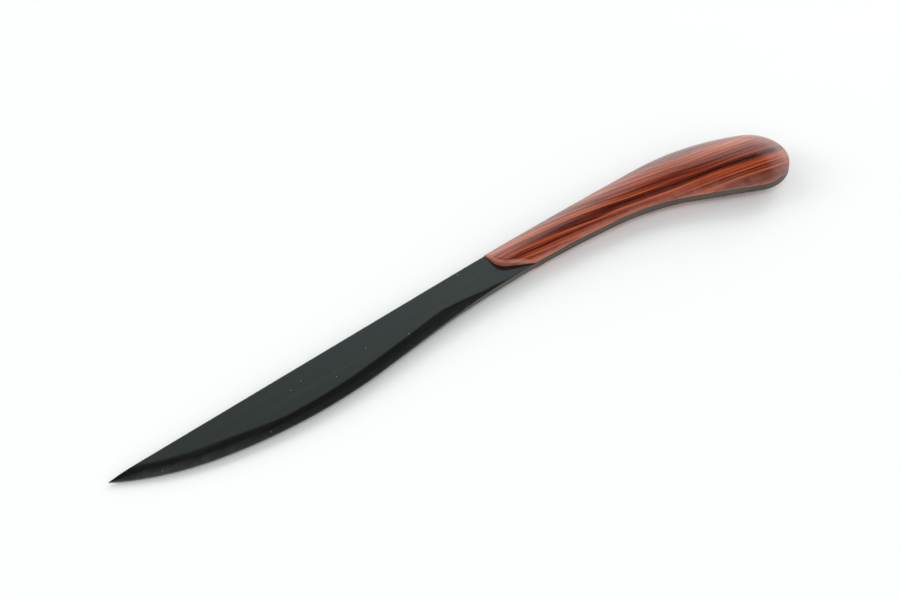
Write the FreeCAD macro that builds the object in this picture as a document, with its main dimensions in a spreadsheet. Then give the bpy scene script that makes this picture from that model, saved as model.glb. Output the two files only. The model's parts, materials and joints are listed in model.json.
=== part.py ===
"""Wooden paper folder with a full-tang blade and two glued handle scales.

Construction frame, in millimetres: the blade's tip is at the origin, +X runs along the straight
spine towards the butt, +Y points out of the spine and +Z is square to the blade's flat, whose
mid-plane is z = 0. The finished pieces are then laid down as the folder rests on a table: the tip
and the belly of the back scale touch z = 0, and the origin is under the middle of the folder.
"""

import FreeCAD, Part
import math
import os

import Sketcher
from FreeCAD import Placement, Rotation, Vector

os.makedirs("parts", exist_ok=True)
doc = FreeCAD.newDocument("paper_folder")

UP = Vector(0, 0, 1)
ALONG_THE_SPINE = Vector(1, 0, 0)
ACROSS_THE_SPINE = Vector(0, 1, 0)

# ---------------------------------------------------------------- driving dimensions (mm, degrees)

SIZES = {
    # outline of the blade and its full tang, seen square to the flat
    "spine_length": 103.0,        # straight part of the spine, from the tip
    "back_radius": 1836.0,        # barely bent back above the neck and the grip
    "shoulder_radius": 74.4,      # back of the handle falling towards the butt
    "butt_radius": 10.9,
    "butt_along": 205.6,          # centre of the round butt
    "butt_drop": 20.2,
    "under_angle": 28.0,          # straight underside in front of the butt
    "grip_radius": 68.4,          # hollow for the fingers
    "neck_radius": 283.0,         # long shallow hollow at the neck
    "neck_along": 124.6,
    "neck_width": 11.45,
    "flank_angle": 6.1,           # straight stretch between the neck and the belly
    "belly_radius": 148.5,
    "belly_width": 15.85,
    "tip_radius": 74.5,           # cutting edge sweeping up to the tip
    # blade
    "blade_thickness": 1.8,
    "bevel_width": 4.0,
    "edge_thickness": 0.34,
    "bed_depth": 0.05,            # scraped bonding bed under each scale
    "cutter_lift": 1.0,           # how far the bevel's cutter stands clear of the slip
    # handle scales
    "glue_thickness": 0.1,
    "land_height": 0.2,           # square edge left all round each scale
    "dome_ratio": 0.323,          # rise of the dome over half the handle's width
    "nose_along": 122.7,
    "nose_radius": 4.6,
    "nose_slope": 32.0,
    "nose_toe_along": 136.0,
    "nose_toe_drop": 14.4,
    "nose_rounding": 0.18,
    # hidden locating dowels
    "dowel_diameter": 3.0,
    "dowel_length": 4.4,
    "dowel_gap": 0.05,
    "front_dowel_along": 146.0,
    "front_dowel_drop": 6.4,
    "rear_dowel_along": 196.0,
    "rear_dowel_drop": 16.4,
    # rest pose on a table: handle raised by the back scale, and its natural lean
    "rest_tilt": 1.018,
    "rest_lean": -1.13,
}

sheet = doc.addObject("Spreadsheet::Sheet", "sizes")
for row, (name, value) in enumerate(SIZES.items(), start=1):
    sheet.set("A%d" % row, name)
    sheet.set("B%d" % row, str(value))
    sheet.setAlias("B%d" % row, name)
doc.recompute()

# Cross-sections of the handle: (where the section leaves the back, how far it is turned).
HANDLE_SECTIONS = [(117.0, 0.0), (131.0, 0.5), (146.0, 2.0), (160.0, 6.0), (173.0, 12.0),
                   (185.0, 17.5), (197.0, 22.5)]

# Cross-sections of the bevel: (place along the spine, share of the full bevel width, share of the
# way from a square edge to the finished cutting edge). The first one lies beyond the tip.
BEVEL_SECTIONS = [(-4.0, 1.4, 1.0), (14.0, 1.4, 1.0), (30.0, 1.4, 0.98), (46.0, 0.95, 0.96),
                  (62.0, 0.97, 0.94), (80.0, 1.0, 0.86), (96.0, 1.03, 0.7)]
RUNOUT_SECTIONS = [(96.0, 1.03, 0.7), (101.0, 1.0, 0.6), (113.0, 0.36, 0.2), (121.0, 0.06, 0.05),
                   (129.0, -0.08, 0.0)]
TIP_SLOPE = 0.74                  # how steeply the cutting edge leaves the tip
FAR_LEFT = 95.0
FAR_RIGHT = 240.0
FAR_BACK = 6.0
FAR_BELLY = -40.0


# ---------------------------------------------------------------- sketch helpers

def origin_plane(body, role):
    """Return the body's own origin plane with this role."""
    return next(item for item in body.Origin.OriginFeatures if item.Role == role)


def new_body(label):
    """Start a sub-part with its own name."""
    body = doc.addObject("PartDesign::Body", label)
    body.Label = label
    return body


def new_sketch(body, name, role, offset=None):
    """Start a sketch on one of the body's origin planes, moved by the offset placement."""
    sketch = body.newObject("Sketcher::SketchObject", name)
    sketch.AttachmentSupport = [(origin_plane(body, role), "")]
    sketch.MapMode = "FlatFace"
    if offset is not None:
        sketch.AttachmentOffset = offset
    return sketch


def dimension(sketch, formula, kind, *where):
    """Add one sketch dimension whose value comes from the sheet by the formula."""
    index = sketch.addConstraint(Sketcher.Constraint(kind, *where))
    name = "size%d" % index
    sketch.renameConstraint(index, name)
    sketch.setExpression("Constraints." + name, formula)


def arc_between(start, end, radius, hollow=False):
    """Arc from start to end. It bulges to the right of the way there, or to the left if hollow."""
    chord = end - start
    left = Vector(-chord.y, chord.x, 0).normalize()
    reach = math.sqrt(radius ** 2 - (chord.Length / 2) ** 2)
    centre = (start + end) / 2 + left * (-reach if hollow else reach)
    circle = Part.Circle(centre, UP, radius)
    first, last = circle.parameter(start), circle.parameter(end)
    if hollow:
        first, last = last, first
    return Part.ArcOfCircle(circle, first, last)


def draw_outline(sketch):
    """Draw the closed outline of blade and tang, tip first and then round by the belly.

    The points are rough joints; the tangents and the sheet's dimensions settle them.
    """
    path = [
        ("tip", Vector(28.4, -12.8), SIZES["tip_radius"], False),
        ("belly", Vector(75.8, -15.3), SIZES["belly_radius"], False),
        ("flank", Vector(95.0, -13.2), None, False),
        ("neck", Vector(160.8, -14.0), SIZES["neck_radius"], True),
        ("grip", Vector(183.4, -21.2), SIZES["grip_radius"], True),
        ("under", Vector(199.6, -29.6), None, False),
        ("butt", Vector(209.8, -10.4), SIZES["butt_radius"], False),
        ("shoulder", Vector(177.5, -1.5), SIZES["shoulder_radius"], False),
        ("back", Vector(SIZES["spine_length"], 0), SIZES["back_radius"], False),
        ("spine", Vector(0, 0), None, False),
    ]
    index = {}
    ends = {}
    here = Vector(0, 0)
    for name, there, radius, hollow in path:
        if radius is None:
            shape = Part.LineSegment(here, there)
        else:
            shape = arc_between(here, there, radius, hollow)
        index[name] = sketch.addGeometry(shape, False)
        ends[name] = (2, 1) if hollow else (1, 2)
        here = there
    names = [step[0] for step in path]
    for one, two in zip(names, names[1:]):
        sketch.addConstraint(Sketcher.Constraint("Tangent", index[one], ends[one][1],
                                                 index[two], ends[two][0]))
    sketch.addConstraint(Sketcher.Constraint("Coincident", index["tip"], 1, index["spine"], 2))
    sketch.addConstraint(Sketcher.Constraint("Coincident", index["spine"], 2, -1, 1))
    sketch.addConstraint(Sketcher.Constraint("Horizontal", index["spine"]))
    for name in ("tip", "belly", "neck", "grip", "butt", "shoulder", "back"):
        dimension(sketch, "sizes.%s_radius" % name, "Radius", index[name], SIZES[name + "_radius"])
    dimension(sketch, "sizes.spine_length", "DistanceX", -1, 1, index["spine"], 1,
              SIZES["spine_length"])
    dimension(sketch, "sizes.butt_along", "DistanceX", -1, 1, index["butt"], 3,
              SIZES["butt_along"])
    dimension(sketch, "sizes.butt_drop", "DistanceY", index["butt"], 3, -1, 1,
              SIZES["butt_drop"])
    dimension(sketch, "sizes.neck_along", "DistanceX", -1, 1, index["neck"], 3,
              SIZES["neck_along"])
    dimension(sketch, "sizes.neck_radius + sizes.neck_width", "DistanceY", index["neck"], 3, -1, 1,
              SIZES["neck_radius"] + SIZES["neck_width"])
    dimension(sketch, "sizes.belly_radius - sizes.belly_width", "DistanceY",
              -1, 1, index["belly"], 3, SIZES["belly_radius"] - SIZES["belly_width"])
    dimension(sketch, "sizes.flank_angle", "Angle", -1, 1, index["flank"], 1,
              math.radians(SIZES["flank_angle"]))
    dimension(sketch, "-sizes.under_angle", "Angle", -1, 1, index["under"], 1,
              math.radians(-SIZES["under_angle"]))


def draw_nose(sketch, far_along):
    """Draw the nose line of a scale, closed round by a box that ends at far_along."""
    wall = SIZES["nose_along"]
    radius = SIZES["nose_radius"]
    slope = math.radians(SIZES["nose_slope"])
    toe = Vector(SIZES["nose_toe_along"], -SIZES["nose_toe_drop"])
    turn = math.pi / 2 - slope
    step = radius * (1 - math.cos(turn))
    bend_end = Vector(wall + step, toe.y + (toe.x - wall - step) * math.tan(slope))
    bend_start = Vector(wall, bend_end.y + radius * math.sin(turn))
    top = Vector(wall, FAR_BACK)
    far_top = Vector(far_along, FAR_BACK)
    far_low = Vector(far_along, FAR_BELLY)
    low = Vector(toe.x, FAR_BELLY)
    first = sketch.addGeometry(Part.LineSegment(top, bend_start), False)
    bend = sketch.addGeometry(arc_between(bend_start, bend_end, radius), False)
    slant = sketch.addGeometry(Part.LineSegment(bend_end, toe), False)
    drop = sketch.addGeometry(Part.LineSegment(toe, low), False)
    base = sketch.addGeometry(Part.LineSegment(low, far_low), False)
    side = sketch.addGeometry(Part.LineSegment(far_low, far_top), False)
    roof = sketch.addGeometry(Part.LineSegment(far_top, top), False)
    sketch.addConstraint(Sketcher.Constraint("Tangent", first, 2, bend, 1))
    sketch.addConstraint(Sketcher.Constraint("Tangent", bend, 2, slant, 1))
    for one, two in ((slant, drop), (drop, base), (base, side), (side, roof), (roof, first)):
        sketch.addConstraint(Sketcher.Constraint("Coincident", one, 2, two, 1))
    for line in (first, drop, side):
        sketch.addConstraint(Sketcher.Constraint("Vertical", line))
    for line in (base, roof):
        sketch.addConstraint(Sketcher.Constraint("Horizontal", line))
    dimension(sketch, "sizes.nose_along", "DistanceX", -1, 1, first, 1, wall)
    dimension(sketch, "sizes.nose_radius", "Radius", bend, radius)
    dimension(sketch, "sizes.nose_toe_along", "DistanceX", -1, 1, slant, 2, toe.x)
    dimension(sketch, "sizes.nose_toe_drop", "DistanceY", slant, 2, -1, 1, -toe.y)
    dimension(sketch, "sizes.nose_slope", "Angle", slant, 2, -1, 2, slope)
    sketch.addConstraint(Sketcher.Constraint("DistanceY", -1, 1, roof, 1, FAR_BACK))
    sketch.addConstraint(Sketcher.Constraint("DistanceY", base, 1, -1, 1, -FAR_BELLY))
    sketch.addConstraint(Sketcher.Constraint("DistanceX", -1, 1, side, 1, far_along))


def draw_dowel_circles(sketch, formula, diameter):
    """Draw one circle at each dowel, its diameter bound to the formula."""
    for place in ("front_dowel", "rear_dowel"):
        along = SIZES[place + "_along"]
        drop = SIZES[place + "_drop"]
        circle = sketch.addGeometry(Part.Circle(Vector(along, -drop), UP, diameter / 2), False)
        dimension(sketch, "sizes.%s_along" % place, "DistanceX", -1, 1, circle, 3, along)
        dimension(sketch, "sizes.%s_drop" % place, "DistanceY", circle, 3, -1, 1, drop)
        dimension(sketch, formula, "Diameter", circle, diameter)


def crossings(outline, base, direction):
    """Return the points where a line through base crosses the outline, in order along it."""
    reach = direction * (FAR_RIGHT - FAR_LEFT)
    points = [v.Point for v in outline.section(Part.makeLine(base - reach, base + reach)).Vertexes]
    return sorted(points, key=lambda point: point.dot(direction))


# ---------------------------------------------------------------- features shared by the pieces

def through_cut(body, sketch, name):
    """Cut a sketch through everything, both ways, and make sure that it removed material."""
    before = body.Shape.Volume
    pocket = body.newObject("PartDesign::Pocket", name)
    pocket.Profile = sketch
    pocket.Type = 1
    pocket.Midplane = True
    doc.recompute()
    if not body.Shape.Volume < before:
        raise RuntimeError("%s removed nothing" % name)
    return pocket


def blind_cut(body, sketch, name, formula, towards_plus_z):
    """Cut a sketch to the depth given by the formula, and make sure that it removed material."""
    before = body.Shape.Volume
    pocket = body.newObject("PartDesign::Pocket", name)
    pocket.Profile = sketch
    pocket.setExpression("Length", formula)
    pocket.Reversed = towards_plus_z
    doc.recompute()
    if not body.Shape.Volume < before:
        raise RuntimeError("%s removed nothing" % name)
    return pocket


def level(height):
    """Placement of a sketch that lies at this height above the blade's mid-plane."""
    return Placement(Vector(0, 0, height), Rotation())


def upright(point, height, turn):
    """Placement, on a YZ plane, of a section through point, turned clockwise seen from above."""
    return Placement(Vector(point.y, height, point.x), Rotation(Vector(0, 1, 0), -turn))


# ---------------------------------------------------------------- blade with its full tang

def bevel_sketch(body, outline, name, along, width_share, edge_share):
    """Draw the wedge that the bevel removes from the upper face at one place along the blade."""
    half = SIZES["blade_thickness"] / 2
    if along > 0:
        edge = crossings(outline, Vector(along, 0), Vector(0, 1, 0))[0].y
    else:
        edge = -along * TIP_SLOPE
    width = SIZES["bevel_width"] * width_share
    drop = (half - SIZES["edge_thickness"] / 2) * edge_share
    lift = SIZES["cutter_lift"]
    fall = drop / abs(width) * lift
    corners = [
        Vector(edge + width, half),
        Vector(edge + width, half + lift),
        Vector(edge - lift, half + lift),
        Vector(edge - lift, half - drop - fall),
    ]
    sketch = new_sketch(body, name, "YZ_Plane", Placement(Vector(0, 0, along), Rotation()))
    for start, end in zip(corners, corners[1:] + corners[:1]):
        sketch.addGeometry(Part.LineSegment(start, end), False)
    for line in range(4):
        sketch.addConstraint(Sketcher.Constraint("Coincident", line, 2, (line + 1) % 4, 1))
        sketch.addConstraint(Sketcher.Constraint("DistanceX", -1, 1, line, 1, corners[line].x))
    dimension(sketch, "sizes.blade_thickness / 2", "DistanceY", -1, 1, 0, 1, half)
    for line in (1, 2):
        dimension(sketch, "sizes.blade_thickness / 2 + sizes.cutter_lift",
                  "DistanceY", -1, 1, line, 1, half + lift)
    sketch.addConstraint(Sketcher.Constraint("DistanceY", -1, 1, 3, 1, corners[3].y))
    return sketch


def cut_bevel(body, outline, name, sections):
    """Cut one stretch of the bevel from both faces."""
    sketches = [bevel_sketch(body, outline, "%s_section_%d" % (name, number), *section)
                for number, section in enumerate(sections, start=1)]
    doc.recompute()
    loft = body.newObject("PartDesign::SubtractiveLoft", name)
    loft.Profile = sketches[0]
    loft.Sections = sketches[1:]
    doc.recompute()
    mirrored = body.newObject("PartDesign::Mirrored", name + "_other_face")
    mirrored.Originals = [loft]
    mirrored.MirrorPlane = (origin_plane(body, "XY_Plane"), [""])
    body.Tip = mirrored
    doc.recompute()


def build_blade():
    """Blade and tang: one ebony slip, bevelled on both faces along the belly edge."""
    body = new_body("blade")
    outline_sketch = new_sketch(body, "outline", "XY_Plane")
    draw_outline(outline_sketch)
    doc.recompute()
    slip = body.newObject("PartDesign::Pad", "slip")
    slip.Profile = outline_sketch
    slip.Midplane = True
    slip.setExpression("Length", "sizes.blade_thickness")
    doc.recompute()
    outline = outline_sketch.Shape.copy()
    cut_bevel(body, outline, "bevel", BEVEL_SECTIONS)
    cut_bevel(body, outline, "runout", RUNOUT_SECTIONS)
    half = SIZES["blade_thickness"] / 2
    for face, side in (("front", 1), ("back", -1)):
        bed = new_sketch(body, face + "_bed_outline", "XY_Plane", level(side * half))
        draw_nose(bed, FAR_RIGHT)
        blind_cut(body, bed, face + "_bed", "sizes.bed_depth", side < 0)
    holes = new_sketch(body, "dowel_holes_plan", "XY_Plane")
    draw_dowel_circles(holes, "sizes.dowel_diameter + 2 * sizes.dowel_gap",
                       SIZES["dowel_diameter"] + 2 * SIZES["dowel_gap"])
    through_cut(body, holes, "dowel_holes")
    return body, outline


# ---------------------------------------------------------------- glue lines

def build_glue_line(label, side):
    """Cured film of glue between the tang and one scale, as large as the scale's flat face."""
    bed_height = SIZES["blade_thickness"] / 2 - SIZES["bed_depth"]
    body = new_body(label)
    plan = new_sketch(body, label + "_plan", "XY_Plane", level(side * bed_height))
    draw_outline(plan)
    doc.recompute()
    film = body.newObject("PartDesign::Pad", label + "_film")
    film.Profile = plan
    film.Reversed = side < 0
    film.setExpression("Length", "sizes.glue_thickness")
    doc.recompute()
    nose = new_sketch(body, label + "_nose", "XY_Plane")
    draw_nose(nose, -FAR_LEFT)
    through_cut(body, nose, label + "_nose_cut")
    holes = new_sketch(body, label + "_holes", "XY_Plane")
    draw_dowel_circles(holes, "sizes.dowel_diameter + 2 * sizes.dowel_gap",
                       SIZES["dowel_diameter"] + 2 * SIZES["dowel_gap"])
    through_cut(body, holes, label + "_dowel_holes")
    return body


# ---------------------------------------------------------------- handle scales

def nose_rim(shape, side):
    """Name the curved edge at the top of the nose wall; it is clear of the glue face all along."""
    clear = SIZES["blade_thickness"] / 2 + SIZES["land_height"] * 2
    for number, edge in enumerate(shape.Edges, start=1):
        points = [vertex.Point for vertex in edge.Vertexes]
        if all(point.x < SIZES["nose_toe_along"] and point.z * side > clear for point in points):
            return "Edge%d" % number
    raise RuntimeError("the nose has no upper rim")


def section_outline(sketch, side, half_width, whole):
    """Draw a scale's cross-section, or its half beyond the middle when whole is false.

    The base line lies on the glue, a square land stands at each edge, and an arc domes over.
    """
    ratio = SIZES["dome_ratio"]
    land = side * SIZES["land_height"]
    radius = half_width * (1 + ratio ** 2) / (2 * ratio)
    crown = Vector(0, land + side * ratio * half_width)
    centre = Vector(0, crown.y - side * radius)
    edge = Vector(half_width, land)
    halfway = (edge - centre + crown - centre).normalize() * radius + centre
    if whole:
        near, passing, far_end = -half_width, crown, Vector(-half_width, land)
    else:
        near, passing, far_end = 0.0, halfway, crown
    base = sketch.addGeometry(Part.LineSegment(Vector(near, 0), Vector(half_width, 0)), False)
    right = sketch.addGeometry(Part.LineSegment(Vector(half_width, 0), edge), False)
    arc = sketch.addGeometry(Part.ArcOfCircle(edge, passing, far_end), False)
    left = sketch.addGeometry(Part.LineSegment(far_end, Vector(near, 0)), False)
    arc_ends = (1, 2) if side > 0 else (2, 1)
    join = Sketcher.Constraint
    sketch.addConstraint(join("Coincident", base, 2, right, 1))
    sketch.addConstraint(join("Coincident", right, 2, arc, arc_ends[0]))
    sketch.addConstraint(join("Coincident", arc, arc_ends[1], left, 1))
    sketch.addConstraint(join("Coincident", left, 2, base, 1))
    sketch.addConstraint(join("Horizontal", base))
    sketch.addConstraint(join("Vertical", right))
    sketch.addConstraint(join("Vertical", left))
    sketch.addConstraint(join("PointOnObject", base, 1, -1))
    sketch.addConstraint(join("DistanceX", -1, 1, base, 2, half_width))
    if whole:
        sketch.addConstraint(join("DistanceX", base, 1, -1, 1, half_width))
        sketch.addConstraint(join("Horizontal", arc, 1, arc, 2))
    else:
        sketch.addConstraint(join("PointOnObject", base, 1, -2))
        sketch.addConstraint(join("PointOnObject", arc, 3, -2))
    low, high = ((-1, 1), (right, 2)) if side > 0 else ((right, 2), (-1, 1))
    dimension(sketch, "sizes.land_height", "DistanceY", *low, *high, SIZES["land_height"])
    dimension(sketch, "%.4f * (1 + sizes.dome_ratio ^ 2) / (2 * sizes.dome_ratio)" % half_width,
              "Radius", arc, radius)


def build_scale(label, side, outline):
    """One cocobolo scale: a lens-shaped slab that follows the tang's outline, with a cut nose."""
    base_height = SIZES["blade_thickness"] / 2 - SIZES["bed_depth"] + SIZES["glue_thickness"]
    body = new_body(label)
    sketches = []
    for number, (along, turn) in enumerate(HANDLE_SECTIONS, start=1):
        angle = math.radians(turn)
        direction = Vector(math.sin(angle), math.cos(angle), 0)
        back = crossings(outline, Vector(along, 0), Vector(0, 1, 0))[-1]
        under = crossings(outline, back, direction)[0]
        middle = (back + under) / 2
        sketch = new_sketch(body, "%s_section_%d" % (label, number), "YZ_Plane",
                            upright(middle, side * base_height, turn))
        section_outline(sketch, side, (back - under).Length / 2, True)
        sketches.append(sketch)
    butt_centre = Vector(SIZES["butt_along"], -SIZES["butt_drop"])
    butt_place = upright(butt_centre, side * base_height, SIZES["under_angle"])
    last = new_sketch(body, label + "_last_section", "YZ_Plane", butt_place)
    section_outline(last, side, SIZES["butt_radius"], True)
    sketches.append(last)
    doc.recompute()
    slab = body.newObject("PartDesign::AdditiveLoft", label + "_slab")
    slab.Profile = sketches[0]
    slab.Sections = sketches[1:]
    doc.recompute()
    cap_sketch = new_sketch(body, label + "_cap_section", "YZ_Plane", butt_place)
    section_outline(cap_sketch, side, SIZES["butt_radius"], False)
    before = body.Shape.Volume
    cap = body.newObject("PartDesign::Revolution", label + "_cap")
    cap.Profile = cap_sketch
    cap.ReferenceAxis = (cap_sketch, ["V_Axis"])
    cap.Angle = 180
    cap.Reversed = True
    doc.recompute()
    if not body.Shape.Volume > before:
        raise RuntimeError("%s cap added nothing" % label)
    nose = new_sketch(body, label + "_nose", "XY_Plane")
    draw_nose(nose, FAR_LEFT)
    nose_cut = through_cut(body, nose, label + "_nose_cut")
    rounding = body.newObject("PartDesign::Fillet", label + "_nose_rounding")
    rounding.Base = (nose_cut, [nose_rim(nose_cut.Shape, side)])
    rounding.setExpression("Radius", "sizes.nose_rounding")
    doc.recompute()
    holes = new_sketch(body, label + "_holes", "XY_Plane", level(side * base_height))
    draw_dowel_circles(holes, "sizes.dowel_diameter + 2 * sizes.dowel_gap",
                       SIZES["dowel_diameter"] + 2 * SIZES["dowel_gap"])
    depth = ("sizes.dowel_length / 2 + sizes.dowel_gap - sizes.blade_thickness / 2"
             " + sizes.bed_depth - sizes.glue_thickness")
    blind_cut(body, holes, label + "_dowel_holes", depth, side > 0)
    return body


# ---------------------------------------------------------------- dowels

def build_dowel(label):
    """Short hidden dowel that locates both scales on the tang."""
    body = new_body(label)
    plan = new_sketch(body, label + "_plan", "XY_Plane")
    along = SIZES[label + "_along"]
    drop = SIZES[label + "_drop"]
    diameter = SIZES["dowel_diameter"]
    circle = plan.addGeometry(Part.Circle(Vector(along, -drop), UP, diameter / 2), False)
    dimension(plan, "sizes.%s_along" % label, "DistanceX", -1, 1, circle, 3, along)
    dimension(plan, "sizes.%s_drop" % label, "DistanceY", circle, 3, -1, 1, drop)
    dimension(plan, "sizes.dowel_diameter", "Diameter", circle, diameter)
    rod = body.newObject("PartDesign::Pad", label + "_rod")
    rod.Profile = plan
    rod.Midplane = True
    rod.setExpression("Length", "sizes.dowel_length")
    doc.recompute()
    return body


# ---------------------------------------------------------------- assembly at rest

def lay_down(bodies):
    """Tilt all pieces as the folder rests, and put the origin under the middle of the folder."""
    lean = Rotation(ALONG_THE_SPINE, SIZES["rest_lean"])
    tilt = lean * Rotation(ACROSS_THE_SPINE, -SIZES["rest_tilt"])
    for body in bodies:
        body.Placement = Placement(Vector(0, 0, 0), tilt)
    doc.recompute()
    box = Part.makeCompound([body.Shape for body in bodies]).optimalBoundingBox(False)
    shift = Vector(-box.Center.x, -box.Center.y, -box.ZMin)
    for body in bodies:
        body.Placement = Placement(shift, tilt)
    doc.recompute()


blade, blade_outline = build_blade()
pieces = [
    blade,
    build_glue_line("front_glue_line", 1),
    build_glue_line("back_glue_line", -1),
    build_scale("front_scale", 1, blade_outline),
    build_scale("back_scale", -1, blade_outline),
    build_dowel("front_dowel"),
    build_dowel("rear_dowel"),
]
lay_down(pieces)

for item in doc.Objects:
    if "Invalid" in item.State or "Error" in item.State:
        raise RuntimeError("%s is in state %s" % (item.Name, item.State))
for piece in pieces:
    if piece.Shape.isNull() or not piece.Shape.isValid():
        raise RuntimeError("%s has no valid shape" % piece.Label)
for piece in pieces:
    piece.Shape.exportStep("parts/%s.step" % piece.Label)
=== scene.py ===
"""Finished look of a wooden paper folder: black blade with a full tang, and two striped scales.

Shapes are worked out in millimetres in the folder's own frame: the blade's tip is at the origin,
+X runs along the straight spine to the butt, +Y points out of the spine and +Z is square to the
flat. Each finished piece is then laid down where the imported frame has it, in metres.
"""

import json
import logging
import math
from dataclasses import dataclass
from enum import Enum
from functools import cached_property

import bmesh
import bpy
import numpy as np
from mathutils import Matrix, Vector


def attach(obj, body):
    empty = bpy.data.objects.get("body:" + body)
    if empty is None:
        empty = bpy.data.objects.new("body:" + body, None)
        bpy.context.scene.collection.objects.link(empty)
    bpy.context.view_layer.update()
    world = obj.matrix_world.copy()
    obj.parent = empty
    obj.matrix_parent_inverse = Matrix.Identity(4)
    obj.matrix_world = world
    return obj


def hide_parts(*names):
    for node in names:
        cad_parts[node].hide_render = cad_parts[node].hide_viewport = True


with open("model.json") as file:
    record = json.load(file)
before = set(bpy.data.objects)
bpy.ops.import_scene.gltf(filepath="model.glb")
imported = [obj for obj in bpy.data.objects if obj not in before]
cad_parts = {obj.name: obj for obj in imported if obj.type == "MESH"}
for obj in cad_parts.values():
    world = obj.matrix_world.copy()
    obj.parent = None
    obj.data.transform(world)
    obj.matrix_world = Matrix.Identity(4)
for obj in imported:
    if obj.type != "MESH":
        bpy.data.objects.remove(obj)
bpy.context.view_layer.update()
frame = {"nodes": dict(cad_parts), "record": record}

LOG = logging.getLogger("paper_folder")
MM = 0.001


class Side(Enum):
    """Which face of the tang a piece lies on."""

    FRONT = 1
    BACK = -1


# ------------------------------------------------------------------ outline of blade and handle


@dataclass(frozen=True)
class Arc:
    """Circular stretch of the outline.

    Attributes:
        centre: Its centre, as x + y j.
        radius: Its radius.
    """

    centre: complex
    radius: float

    def above(self, along: np.ndarray) -> np.ndarray:
        """Return the height of the circle's upper half at these places along the spine."""
        return self.centre.imag + self._rise(along)

    def below(self, along: np.ndarray) -> np.ndarray:
        """Return the height of the circle's lower half at these places along the spine."""
        return self.centre.imag - self._rise(along)

    def towards(self, other: "Arc") -> complex:
        """Return this circle's point on the line from its centre through the other's centre."""
        way = other.centre - self.centre
        return self.centre + way / abs(way) * self.radius

    def _rise(self, along: np.ndarray) -> np.ndarray:
        """Return half the circle's chord at these places along the spine."""
        return np.sqrt(np.maximum(self.radius**2 - (along - self.centre.real) ** 2, 0.0))


def meet(one: complex, reach_one: float, two: complex, reach_two: float, left: bool) -> complex:
    """Find the point at given distances from two others.

    Args:
        one: First point.
        reach_one: Distance from the first point.
        two: Second point.
        reach_two: Distance from the second point.
        left: Whether to take the leftmost of the two answers.

    Returns:
        The point found.
    """
    gap = abs(two - one)
    unit = (two - one) / gap
    along = (reach_one**2 - reach_two**2 + gap**2) / (2 * gap)
    across = math.sqrt(max(reach_one**2 - along**2, 0.0))
    answers = (one + unit * complex(along, across), one + unit * complex(along, -across))
    return sorted(answers, key=lambda point: point.real)[0 if left else 1]


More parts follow.
